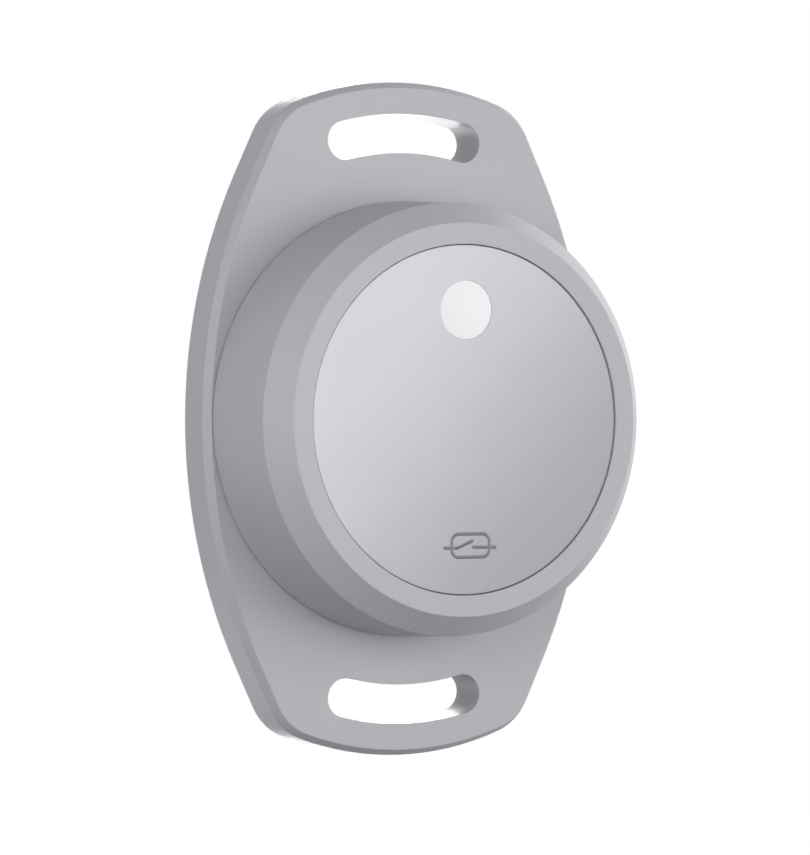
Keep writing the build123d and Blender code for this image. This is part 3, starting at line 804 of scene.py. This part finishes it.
class SENSOR_OT_window(bpy.types.Operator):
    """White breathing window in the disc"""
    bl_idname = "sensor.window"
    bl_label = "Breathing Window"

    def execute(self, context):
        sizes = context.scene.sensor_face
        white = material("window_white")
        front = sizes.disc_front - HAIR
        piece = turned_disc("breathing_window", sizes.window_radius, WINDOW_BACK, front, white,
                            centre=(0, 0, sizes.window_height), segments=96, corners=(0, 0.03 * MM))
        dress(smooth(piece), "twist_cover", "vent_white", white, "vent_membrane")
        return {"FINISHED"}


class SENSOR_OT_mark(bpy.types.Operator):
    """Printed contact mark: a capsule with two leads and an open blade"""
    bl_idname = "sensor.mark"
    bl_label = "Printed Mark"

    def execute(self, context):
        sizes = context.scene.sensor_face
        ink = material("mark_ink")
        capsule = rectangle(-1.43 * MM, 2.38 * MM, -12.01 * MM, -9.99 * MM, corner=0.68 * MM)
        blade = [(-2.26 * MM, -11.18 * MM, 0), (-0.90 * MM, -11.20 * MM, 0.1 * MM),
                 (0.72 * MM, -10.56 * MM, 0)]
        lead = [(0.63 * MM, -11.14 * MM, 0), (3.08 * MM, -11.18 * MM, 0)]
        piece = printed_lines("contact_mark", [capsule], sizes.stroke_width, 2 * sizes.ink_thickness,
                              sizes.disc_front, ink)
        leads = printed_lines("leads", [(blade, False), (lead, False)], sizes.stroke_width,
                              1.6 * sizes.ink_thickness, sizes.disc_front, ink)
        join(piece, [leads])
        dress(piece, "twist_cover", None, ink)
        return {"FINISHED"}


# The board, its screws and the cell


def spread(middle, count, pitch):
    """Evenly spaced numbers about a middle."""
    return [middle + (step - (count - 1) / 2) * pitch for step in range(count)]


# Small parts of the board: x and z of the middle in millimetres, and the turn in degrees
CHIP_PLACES = [(x, 5.2, 90) for x in spread(-6.2, 5, 1.5)] + [(8.4, z, 0) for z in spread(1.3, 4, 1.1)]
# Lands under the other parts: x, z, turn in degrees, width and height
LANDS = (
    [(x, z, 0, 1.0, 0.9) for x in spread(1.4, 2, 1.7) for z in spread(1.6, 2, 1.3)]
    + [(1.4, z, 0, 1.3, 1.1) for z in spread(-3.0, 2, 2.5)]
    + [(x, -4.4, 0, 1.3, 2.4) for x in spread(6.2, 2, 2.9)]
    + [(12.0, z, 0, 1.9, 1.0) for z in spread(-2.2, 2, 6.4)]
    + [(x, z, 0, 0.45, 0.28) for x in spread(1.1, 2, 1.4) for z in spread(9.6, 3, 0.5)]
    + [(-1.1, z, 0, 0.8, 0.5) for z in spread(9.6, 2, 1.5)]
    + [(x, -11.0, 0, 1.3, 1.3) for x in spread(0, 2, 13.4)]
)
# Corners of the copper tracks in millimetres
TRACKS = (
    [(-3.2, 1.3), (-0.4, 1.3), (0.5, 1.0)], [(-3.2, 0.7), (-1.0, 0.7), (0.3, 2.2)],
    [(-3.2, -1.9), (-0.8, -1.9), (0.9, -1.9)], [(-3.2, -2.6), (-1.2, -2.6), (0.2, -4.2), (0.9, -4.2)],
    [(-3.2, 0.0), (4.2, 0.0), (5.4, 1.0), (7.9, 1.0)], [(8.9, 0.75), (10.2, 0.75), (11.4, 1.0)],
    [(7.9, 1.85), (6.6, 1.85), (5.6, 3.2), (-1.6, 5.6), (-2.6, 5.7)], [(8.9, 2.95), (10.6, 3.8), (10.6, 7.6)],
    [(-9.2, -1.2), (-11.2, -1.2), (-12.4, -3.0), (-12.4, -7.4), (-9.2, -11.0), (-6.9, -11.0)],
    [(6.9, -11.0), (9.6, -10.2), (9.6, -7.2), (7.7, -5.2)], [(-6.2, 3.0), (-6.2, 4.6)],
    [(-7.7, 3.0), (-7.7, 4.6)], [(-4.7, 3.0), (-4.7, 4.6)],
    [(-9.2, 5.8), (-9.2, 8.2), (-6.0, 10.6), (-1.5, 10.6)],
    [(-7.7, 5.8), (-7.7, 7.4), (-5.0, 9.1), (-1.5, 9.1)], [(-6.2, 5.8), (-6.2, 7.0), (-3.2, 8.2), (0.2, 9.0)],
    [(1.9, 9.1), (4.4, 7.4), (6.6, 4.0), (7.9, 3.0)], [(4.7, -3.8), (2.6, -2.4), (2.2, 0.9)],
    [(1.9, 10.1), (5.2, 9.2), (9.4, 8.4), (10.4, 7.8)],
)
# Parts with a printed outline, and its distance from the part
OUTLINED = (("radio_shield", 0.25 * MM), ("chip_antenna", 0.3 * MM), ("bulk_capacitor", 0.45 * MM),
            ("main_crystal", 0.45 * MM), ("clock_crystal", 0.35 * MM))
CHIP_PINS, PIN_PITCH = 8, 0.65


class SENSOR_OT_screws(bpy.types.Operator):
    """Three pan-head screws with cross recesses and wound threads, which hold the board to the cover"""
    bl_idname = "sensor.screws"
    bl_label = "Board Screws"

    def execute(self, context):
        sizes = context.scene.sensor_inside
        steel = material("zinc_steel")
        head_back, tip = box_depths("board_screws")
        core, point, neck = sizes.shank_radius - sizes.thread_height, 0.3 * MM, 0.35 * MM
        section = [(0, head_back, 0), (sizes.head_radius, head_back, 0.3 * MM),
                   (sizes.head_radius, BOARD_BACK, 0.06 * MM), (core, BOARD_BACK, 0.05 * MM),
                   (core, tip - point, 0), (0, tip, 0)]
        screw = turned_piece("board_screw_set", section, steel, centre=FIRST_SCREW, segments=32)
        arm, slot_depth, clear = sizes.recess_width, 0.6 * MM, 0.2 * MM
        for width, height in ((arm * 4, arm), (arm, arm * 4)):
            slot = rounded_block("recess", width, height, slot_depth, edge=0.03 * MM,
                                 centre=(FIRST_SCREW[0], 0))
            slot.data.transform(Matrix.Translation((0, clear - head_back, 0)))
            cut(screw, slot)
        thread = tip - BOARD_BACK - 2 * neck
        grow(screw, "Ring Of Screws", {
            "Thread Radius": core, "Thread Height": sizes.thread_height,
            "Thread Turns": thread / sizes.thread_pitch, "Thread Length": thread,
            "Thread Start": (FIRST_SCREW[0], -BOARD_BACK - neck, 0), "Count": SCREW_COUNT,
            "Start Angle": SCREW_START, "Material": steel})
        dress(smooth(screw), "twist_cover", "screw_steel", steel, "board_screws")
        return {"FINISHED"}


class SENSOR_OT_board_print(bpy.types.Operator):
    """Copper tracks, tinned lands and printed outlines on the board's front, and lands round its screws"""
    bl_idname = "sensor.board_print"
    bl_label = "Board Tracks and Lands"

    def execute(self, context):
        sizes = context.scene.sensor_inside
        copper, tin, ink = material("track_green"), material("tinned_steel"), material("board_ink")
        tracks = [([(x * MM, z * MM, 0.3 * MM) for x, z in line], False) for line in TRACKS]
        piece = printed_lines("board_tracks", tracks, sizes.track_width, 2 * sizes.track_height, BOARD_FRONT,
                              copper)
        dress(piece, "twist_cover", "board_laminate", copper)
        template = rounded_block("land", MM, MM, sizes.track_height, 0.2 * sizes.track_height)
        places = [(x * MM, z * MM, turn, wide, tall) for x, z, turn, wide, tall in self.land_places()]
        piece = placed_copies("board_lands", template, places, BOARD_FRONT, tin)
        dress(piece, "twist_cover", "tinned_steel", tin)
        outlines = []
        for node, gap in OUTLINED:
            low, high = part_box(node)
            outlines.append(rectangle(low.x - gap, high.x + gap, low.z - gap, high.z + gap))
        piece = printed_lines("board_outlines", outlines, 0.12 * MM, sizes.track_height, BOARD_FRONT, ink)
        dress(piece, "twist_cover", "board_laminate", ink)
        land_back = BOARD_BACK - sizes.track_height
        piece = turned_tube("screw_lands", bore=0.8 * MM, radius=1.5 * MM, back=land_back, front=BOARD_BACK,
                            material=tin, centre=FIRST_SCREW, segments=40)
        round_the_axis(piece, SCREW_COUNT, SCREW_START, tin)
        dress(piece, "twist_cover", "tinned_steel", tin)
        return {"FINISHED"}

    def land_places(self):
        """Lands of all parts, those of the small parts and of the radio chip's pins among them."""
        lands = list(LANDS)
        for x, z, turn in CHIP_PLACES:
            for side in (-0.5, 0.5):
                angle = math.radians(turn)
                lands.append((x + side * math.cos(angle), z + side * math.sin(angle), turn, 0.5, 0.6))
        middle_x, middle_z = (place / MM for place in box_middle("radio_chip"))
        reach = box_radius("radio_chip") / MM
        for along in spread(0, CHIP_PINS, PIN_PITCH):
            lands += [(middle_x + side * reach, middle_z + along, 0, 0.6, 0.32) for side in (-1, 1)]
            lands += [(middle_x + along, middle_z + side * reach, 90, 0.6, 0.32) for side in (-1, 1)]
        return lands


class SENSOR_OT_chip_parts(bpy.types.Operator):
    """Small board parts: ceramic bodies with tinned ends, the film over the humidity chip and the shield"""
    bl_idname = "sensor.chip_parts"
    bl_label = "Small Board Parts"

    def execute(self, context):
        ceramic, tin, film = material("pale_ceramic"), material("tinned_steel"), material("window_white")
        places = [(x * MM, z * MM, turn, 1, 1) for x, z, turn in CHIP_PLACES]
        body = rounded_block("chip_body", width=0.62 * MM, height=0.46 * MM, rise=0.38 * MM, edge=0.02 * MM)
        piece = placed_copies("chip_part_bodies", body, places, BOARD_FRONT, ceramic)
        dress(smooth(piece), "twist_cover", "ceramic", ceramic, "board_passives")
        end, other_end = (
            rounded_block("chip_end", width=0.22 * MM, height=0.5 * MM, rise=0.4 * MM, edge=0.05 * MM,
                          centre=(side * 0.39 * MM, 0)) for side in (1, -1))
        piece = placed_copies("chip_part_ends", join(end, [other_end]), places, BOARD_FRONT, tin)
        dress(smooth(piece), "twist_cover", "tinned_steel", tin)
        middle_x, middle_z = box_middle("humidity_chip")
        top = box_depths("humidity_chip")[1]
        piece = turned_disc("humidity_film", 0.42 * MM, top, top + 0.03 * MM, film, corners=(0, 0.02 * MM),
                            centre=(middle_x, 0, middle_z))
        dress(smooth(piece), "twist_cover", "vent_white", film)
        self.make_shield(tin)
        return {"FINISHED"}

    def make_shield(self, tin):
        """Screening can with rounded outer edges and a grid of holes"""
        low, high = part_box("radio_shield")

        def on_outside(edge):
            middle = edge_middle(edge)
            at_side = min(middle.x - low.x, high.x - middle.x, middle.z - low.z, high.z - middle.z) < HAIR
            return at_side and middle.y < -BOARD_FRONT - HAIR

        piece = softened_copy("vented_shield", "radio_shield", 0.18 * MM, on_outside)
        middle_x, middle_z = box_middle("radio_shield")
        across, upwards = spread(middle_x, 5, 1.5 * MM), spread(middle_z, 4, 1.5 * MM)
        holes = [(x, z, 0, 1, 1) for x in across for z in upwards]
        drill = turned_disc("vent_hole", 0.35 * MM, -0.4 * MM, 0.4 * MM, tin, segments=20)
        cut(piece, placed_copies("vent_holes", drill, holes, -low.y - 0.1 * MM, tin))
        dress(smooth(piece), "twist_cover", "tinned_steel", tin, "radio_shield")


class SENSOR_OT_cell(bpy.types.Operator):
    """Coin cell: drawn can with a raised plus, and the cap over its seal"""
    bl_idname = "sensor.cell"
    bl_label = "Coin Cell"

    def execute(self, context):
        nickel = material("cell_nickel")
        radius, inside = box_radius("cell_can"), box_radius("cell_cap")
        cap_radius, slope = 10.5 * MM, 2.2 * MM
        back, shoulder = box_depths("cell_can")
        cap_back, cap_front = box_depths("cell_cap")
        bore = radius - (cap_back - back)
        section = [(0, back, 0), (radius, back, 0.45 * MM), (radius, shoulder, 0.12 * MM),
                   (bore, shoulder, 0.06 * MM), (bore, cap_back, 0.1 * MM), (0, cap_back, 0)]
        can = turned_piece("coin_cell_can", section, nickel)
        join(can, [raised_plus("plus", 3.2 * MM, 0.4 * MM, back, 0.05 * MM)])
        dress(smooth(can), "twist_cover", "cell_steel", nickel, "cell_can")
        section = [(0, cap_back, 0), (inside, cap_back, 0), (inside, shoulder, 0.2 * MM),
                   (cap_radius, cap_front, 0.25 * MM), (cap_radius - slope, cap_front, 0), (0, cap_front, 0)]
        cap = turned_piece("coin_cell_cap", section, nickel)
        dress(smooth(cap), "twist_cover", "cell_steel", nickel, "cell_cap")
        return {"FINISHED"}


# The studio

WARM, PLAIN, COOL = (1.0, 0.965, 0.92), (0.985, 0.99, 1.0), (0.935, 0.96, 1.0)
# Name, azimuth and elevation in degrees, distance, width and height in metres, power in watts, and colour
LAMPS = (
    ("front", 10, -8, 0.70, 0.50, 0.68, 1.86, PLAIN),
    ("front_right", 40, 10, 0.70, 0.50, 0.50, 1.03, WARM),
    ("right", 70, 0, 0.70, 0.50, 0.50, 2.02, PLAIN),
    ("near_left", -36, 8, 0.15, 0.07, 0.07, 0.068, WARM),
    ("left", -90, 6, 0.70, 0.20, 0.50, 1.40, COOL),
    ("back_right", 103, 22, 0.70, 0.50, 0.50, 1.10, PLAIN),
    ("behind", 155, 8, 0.60, 0.30, 0.30, 2.6, WARM),
    ("behind_low", 166, -19, 0.36, 0.30, 0.07, 0.55, PLAIN),
)


def direction(azimuth, elevation):
    """Unit vector from the object; azimuth 0 is straight in front, and positive to the right."""
    return Vector((math.sin(azimuth) * math.cos(elevation), -math.cos(azimuth) * math.cos(elevation),
                   math.sin(elevation)))


def looking(back, turn_left=0.0, turn_up=0.0):
    """Rotation of a lamp or camera that stands in direction back and looks at the middle."""
    right = Vector((0, 0, 1)).cross(back).normalized()
    up = back.cross(right)
    aim = Matrix((right, up, back)).transposed()
    return aim @ Matrix.Rotation(-turn_left, 3, "Y") @ Matrix.Rotation(-turn_up, 3, "X")


def light_path_tree(owner):
    """Emptied node tree of a new world or material, and the outputs of its Light Path node."""
    owner.use_nodes = True
    owner.node_tree.nodes.clear()
    return owner.node_tree, add_node(owner.node_tree, "ShaderNodeLightPath").outputs


class SENSOR_OT_studio(bpy.types.Operator):
    """Camera at the picture's view, soft lamps, pale floor and white surroundings"""
    bl_idname = "sensor.studio"
    bl_label = "Studio"

    def execute(self, context):
        scene = context.scene
        settings = scene.sensor_studio
        camera = bpy.data.cameras.new("camera")
        camera.lens = settings.focal_length
        camera.sensor_fit = "AUTO"
        camera.sensor_width = 36.0
        camera.clip_start = 0.01
        back = direction(settings.azimuth, settings.elevation)
        viewer = new_object("camera", camera)
        viewer.location = back * settings.distance
        viewer.rotation_euler = looking(back, settings.aim_left, settings.aim_up).to_euler()
        scene.camera = viewer
        for name, azimuth, elevation, distance, width, height, power, colour in LAMPS:
            lamp = bpy.data.lights.new(name, "AREA")
            lamp.shape = "RECTANGLE"
            lamp.size, lamp.size_y, lamp.energy, lamp.color = width, height, power, colour
            holder = new_object(name, lamp)
            toward = direction(math.radians(azimuth), math.radians(elevation))
            holder.location = toward * distance
            holder.rotation_euler = looking(toward).to_euler()
            holder.visible_camera = False
        self.make_surroundings(scene, settings.ambient)
        self.make_floor(settings.floor_drop)
        scene.view_settings.view_transform = "Standard"
        return {"FINISHED"}

    def make_surroundings(self, scene, ambient):
        """World that looks white, and lights the object evenly and faintly"""
        scene.world = bpy.data.worlds.new("surroundings")
        tree, path = light_path_tree(scene.world)
        seen = add_math(tree, "MAXIMUM", path["Is Camera Ray"], path["Is Glossy Ray"])
        seen = add_math(tree, "MAXIMUM", seen, path["Is Transmission Ray"])
        dim = add_node(tree, "ShaderNodeBackground", {"Color": (0.68, 0.83, 1, 1), "Strength": ambient})
        white = add_node(tree, "ShaderNodeBackground", {"Color": (1, 1, 1, 1), "Strength": 1.0})
        mix = add_node(tree, "ShaderNodeMixShader", {0: seen, 1: dim, 2: white})
        add_node(tree, "ShaderNodeOutputWorld", {"Surface": mix})

    def make_floor(self, drop):
        """Round pale floor that glows a little where the camera sees it, and keeps the object's shadow"""
        shape = bmesh.new()
        bmesh.ops.create_circle(shape, cap_ends=True, radius=0.45, segments=128)
        bmesh.ops.translate(shape, verts=shape.verts, vec=(0, 0, -drop))
        floor = object_from("floor", shape)
        pale = bpy.data.materials.new("pale_floor")
        tree, path = light_path_tree(pale)
        glossy = add_math(tree, "MULTIPLY", path["Is Glossy Ray"], 0.2)
        share = add_math(tree, "MULTIPLY_ADD", path["Is Camera Ray"], 0.5, glossy)
        tone = add_node(tree, "ShaderNodeMapRange", {
            "Value": path["Is Camera Ray"], "To Min": 0.3, "To Max": 0.85})
        matte = add_node(tree, "ShaderNodeBsdfDiffuse", {"Color": tone})
        glow = add_node(tree, "ShaderNodeEmission", {"Color": (1, 1, 1, 1), "Strength": 1.0})
        mix = add_node(tree, "ShaderNodeMixShader", {0: share, 1: matte, 2: glow})
        add_node(tree, "ShaderNodeOutputMaterial", {"Surface": mix})
        floor.data.materials.append(pale)


# The add-on

PIECE_OPERATORS = (
    SENSOR_OT_finishes, SENSOR_OT_base, SENSOR_OT_cover, SENSOR_OT_face, SENSOR_OT_window, SENSOR_OT_mark,
    SENSOR_OT_screws, SENSOR_OT_board_print, SENSOR_OT_chip_parts, SENSOR_OT_cell, SENSOR_OT_studio)
PROPERTY_GROUPS = {
    "sensor_cover": CoverSizes,
    "sensor_face": FaceSizes,
    "sensor_base": BaseSizes,
    "sensor_inside": InsideSizes,
    "sensor_colours": FinishColours,
    "sensor_studio": StudioSettings,
}


class SENSOR_PT_panel(bpy.types.Panel):
    """Sizes, colours and the operators that build the sensor"""
    bl_idname = "SENSOR_PT_panel"
    bl_label = "Wall Sensor"
    bl_space_type = "VIEW_3D"
    bl_region_type = "UI"
    bl_category = "Wall Sensor"

    def draw(self, context):
        layout = self.layout
        for group in PROPERTY_GROUPS:
            column = layout.column(align=True)
            settings = getattr(context.scene, group)
            for label in settings.__annotations__:
                column.prop(settings, label)
        for operator in PIECE_OPERATORS:
            layout.operator(operator.bl_idname)


CLASSES = (*PROPERTY_GROUPS.values(), *PIECE_OPERATORS, SENSOR_PT_panel)


def register():
    for cls in CLASSES:
        bpy.utils.register_class(cls)
    for name, group in PROPERTY_GROUPS.items():
        setattr(bpy.types.Scene, name, bpy.props.PointerProperty(type=group))


def unregister():
    for name in PROPERTY_GROUPS:
        delattr(bpy.types.Scene, name)
    for cls in reversed(CLASSES):
        bpy.utils.unregister_class(cls)


def main():
    register()
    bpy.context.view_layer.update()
    bpy.ops.sensor.finishes()
    bpy.ops.sensor.base()
    bpy.ops.sensor.cover()
    bpy.ops.sensor.face()
    bpy.ops.sensor.window()
    bpy.ops.sensor.mark()
    bpy.ops.sensor.screws()
    bpy.ops.sensor.board_print()
    bpy.ops.sensor.chip_parts()
    bpy.ops.sensor.cell()
    bpy.ops.sensor.studio()


if __name__ == "__main__":
    main()
